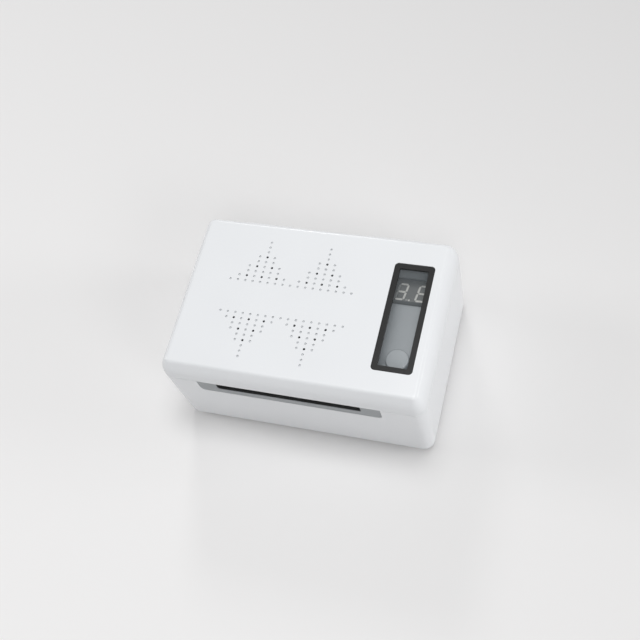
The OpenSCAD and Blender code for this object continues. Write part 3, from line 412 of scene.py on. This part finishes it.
def add_felt():
    """Felt pad in the lid: a slab with soft edges and an uneven, fibrous face."""
    low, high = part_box("dust_filter")
    cell = 0.9 * MM
    size = high - low
    columns, rows = (max(2, round(length / cell)) for length in (size.x, size.y))
    bm = bmesh.new()
    sheets = []
    for side in (-1, 1):
        sheet = felt_sheet(bm, low, high, columns, rows, side)
        sheets.append(sheet)
        for j in range(rows):
            for i in range(columns):
                corners = (sheet[j][i], sheet[j][i + 1], sheet[j + 1][i + 1], sheet[j + 1][i])
                bm.faces.new(corners)
    bottom, top = sheets
    border = [(j, 0) for j in range(rows)] + [(rows, i) for i in range(columns)]
    border += [(j, columns) for j in range(rows, 0, -1)] + [(0, i) for i in range(columns, 0, -1)]
    for (j, i), (next_j, next_i) in zip(border, border[1:] + border[:1]):
        bm.faces.new((bottom[j][i], bottom[next_j][next_i], top[next_j][next_i], top[j][i]))
    piece = add_piece("filter_felt_pad", bm, felt, "lid")
    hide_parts("dust_filter")


def lathe(bm, profile, turn, steps=32):
    """Adds the revolved profile, (radius, height) points round the z axis, then placed by turn."""
    rings = []
    for radius, height in profile:
        count = 1 if radius == 0 else steps
        ring = []
        for s in range(count):
            angle = 2 * math.pi * s / steps
            point = Vector((radius * math.cos(angle), radius * math.sin(angle), height))
            ring.append(bm.verts.new(turn @ point))
        rings.append(ring)
    for a, b in zip(rings, rings[1:]):
        for s in range(steps):
            corners = [a[s % len(a)], a[(s + 1) % len(a)], b[(s + 1) % len(b)], b[s % len(b)]]
            corners = list(dict.fromkeys(corners))
            if len(corners) > 2:
                bm.faces.new(corners)


def lamp_places():
    """The two lamp faces, at the ends of the lamp row, seen from the chamber."""
    low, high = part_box("uv_lamps")
    half = (high.z - low.z) / 2
    return [Vector((low.x, y, low.z + half)) for y in (low.y + half, high.y - half)]


def add_lamp_domes():
    """Clear dome and gold rim on each lamp package."""
    radius, rise, foot, steps = 1.15 * MM, 0.45 * MM, -0.05 * MM, 8
    rim, rim_edge, rim_rise = 0.25 * MM, 0.12 * MM, 0.16 * MM
    face_in = Matrix.Rotation(-math.pi / 2, 4, "Y")
    angles = [math.pi / 2 * k / steps for k in range(steps)]
    dome = [(radius, foot)] + [(radius * math.cos(a), rise * math.sin(a)) for a in angles] + [(0, rise)]
    ring = [(radius, foot), (radius, rim_edge), (radius + rim / 2, rim_rise)]
    ring += [(radius + rim, rim_edge), (radius + rim, foot)]
    for side, place in zip(("front", "back"), lamp_places()):
        turn = Matrix.Translation(place) @ face_in
        bm = bmesh.new()
        lathe(bm, dome, turn)
        add_piece("lamp_dome_" + side, bm, lamp_dome, "base")
        bm = bmesh.new()
        lathe(bm, ring, turn)
        add_piece("lamp_rim_" + side, bm, gold, "base")


def rounded_plate(bm, low, high, radius, bottom, top, steps=2):
    """Adds a plate with round corners between the heights bottom and top."""
    left, right = low[0] + radius, high[0] - radius
    front, back = low[1] + radius, high[1] - radius
    outline = []
    for x, y, start in ((right, back, 0), (left, back, 90), (left, front, 180), (right, front, 270)):
        for s in range(steps + 1):
            angle = math.radians(start + 90 * s / steps)
            outline.append((x + radius * math.cos(angle), y + radius * math.sin(angle)))
    lower = [bm.verts.new((x, y, bottom)) for x, y in outline]
    upper = [bm.verts.new((x, y, top)) for x, y in outline]
    bm.faces.new(lower)
    bm.faces.new(upper)
    for k in range(len(outline)):
        after = (k + 1) % len(outline)
        bm.faces.new((lower[k], lower[after], upper[after], upper[k]))


def add_socket_contacts():
    """Gold contact fingers on both faces of the socket's tongue."""
    low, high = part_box("power_socket")
    middle = (low + high) / 2
    tongue_half, bite, height, corner = 0.35 * MM, 0.0175 * MM, 0.03 * MM, 0.1 * MM
    finger, pitch, reach, recess, to_last = 0.28 * MM, 0.5 * MM, 3.6 * MM, 1.2 * MM, 5
    back = high.y - recess
    bm = bmesh.new()
    for side in (-1, 1):
        inner, outer = side * (tongue_half - bite), side * (tongue_half + height)
        bottom, top = sorted((middle.z + inner, middle.z + outer))
        for k in range(-to_last, to_last + 1):
            x = middle.x + k * pitch
            finger_low, finger_high = (x - finger / 2, back - reach), (x + finger / 2, back)
            rounded_plate(bm, finger_low, finger_high, corner, bottom, top)
    add_piece("socket_contacts", bm, gold, "base", smooth=False)


def add_decimal_point():
    """Lit point between the display's two digits."""
    low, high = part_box("display_digits")
    radius, side, rise, sink, share = 0.42 * MM, 0.06 * MM, 0.1 * MM, 0.1 * MM, 0.437
    from_front = 0.35 * MM
    place = Vector((low.x + share * (high.x - low.x), low.y + from_front, high.z - sink))
    profile = [(radius, 0), (radius, side), (radius * 0.8, rise), (0, rise)]
    bm = bmesh.new()
    lathe(bm, profile, Matrix.Translation(place), 20)
    add_piece("decimal_point", bm, lit, "base")


# Table and light

# Painted fall-off of light: the table's tone changes by this much per metre, up to the span on either
# side of the middle tone
FLOOR = (0.785, 0.78, 0.78)
FLOOR_LIGHT_SLOPE = Vector((-0.35, -0.45, 0.0))
FLOOR_LIGHT_SPAN = 0.16
FLOOR_HALF = 0.75


def add_floor():
    """Pale table, painted lighter towards the front and left as a painted fall-off of light."""
    mesh = bpy.data.meshes.new("floor")
    corners = [(x * FLOOR_HALF, y * FLOOR_HALF, 0) for x, y in ((-1, -1), (1, -1), (1, 1), (-1, 1))]
    mesh.from_pydata(corners, [], [(0, 1, 2, 3)])
    floor = bpy.data.objects.new("floor", mesh)
    bpy.context.scene.collection.objects.link(floor)
    n = Nodes("floor_paper")
    slope = n.tree.nodes.new("ShaderNodeVectorMath")
    slope.operation = "DOT_PRODUCT"
    slope.inputs[1].default_value = FLOOR_LIGHT_SLOPE
    n.link(n.place, slope.inputs[0])
    level = n.math("ADD", slope.outputs["Value"], 0.5)
    stops = [(0.5 + side * FLOOR_LIGHT_SPAN, shade(FLOOR, 1 + side * FLOOR_LIGHT_SPAN)) for side in (-1, 1)]
    n.link(n.ramp(level, stops), n.shader.inputs["Base Color"])
    n.set(Roughness=0.9, Specular_IOR_Level=0.2)
    mesh.materials.append(n.material)


LAMP_AIM = Vector((0, 0, 0.03))
LAMP_DISTANCE = 1.2
LAMP_SIZE = 0.4


def add_lamp(name, tilt, side, share, size=LAMP_SIZE):
    """Disk lamp that gives a surface facing it this share of the light.

    It's tilted from straight above by tilt, towards a side: 0 is the back, 90 the right, 180 the
    front and 270 the left. Both are in degrees.
    """
    data = bpy.data.lights.new(name, "AREA")
    data.shape = "DISK"
    data.size = size
    data.energy = share * (math.pi * LAMP_DISTANCE) ** 2
    lamp_object = bpy.data.objects.new(name, data)
    bpy.context.scene.collection.objects.link(lamp_object)
    lean = Matrix.Rotation(-math.radians(tilt), 3, "X")
    swing = Matrix.Rotation(-math.radians(side), 3, "Z")
    out = swing @ lean @ Vector((0, 0, 1))
    lamp_object.location = LAMP_AIM + LAMP_DISTANCE * out
    lamp_object.rotation_euler = out.to_track_quat("Z", "Y").to_euler()


def add_world(strength, backdrop):
    """Even light from all round. The camera sees it as a pale backdrop."""
    world = bpy.data.worlds.new("world")
    bpy.context.scene.world = world
    world.use_nodes = True
    tree = world.node_tree
    light = tree.nodes["Background"]
    light.inputs["Color"].default_value = (1.0, 1.0, 1.0, 1.0)
    light.inputs["Strength"].default_value = strength
    seen = tree.nodes.new("ShaderNodeBackground")
    seen.inputs["Strength"].default_value = backdrop
    seen.inputs["Color"].default_value = (1.0, 1.0, 1.0, 1.0)
    path = tree.nodes.new("ShaderNodeLightPath")
    mix = tree.nodes.new("ShaderNodeMixShader")
    tree.links.new(path.outputs["Is Camera Ray"], mix.inputs["Fac"])
    tree.links.new(light.outputs["Background"], mix.inputs[1])
    tree.links.new(seen.outputs["Background"], mix.inputs[2])
    tree.links.new(mix.outputs["Shader"], tree.nodes["World Output"].inputs["Surface"])


add_felt()
add_lamp_domes()
add_socket_contacts()
add_decimal_point()

add_camera()
add_floor()
add_lamp("key", 10, 0, 0.17)
add_lamp("overhead", 12, 60, 0.205)
add_lamp("rear", 58, -20, 0.145, 0.25)
add_lamp("right", 76, 80, 0.23)
add_lamp("left", 62, 270, 0.16)
add_lamp("high_front", 36, 155, 0.15)
add_lamp("low_front", 58, 125, 0.115)
add_lamp("edge_line", 17, 257, 0.025, 0.15)
add_world(0.28, 0.78)

bpy.context.scene.view_settings.view_transform = "Standard"
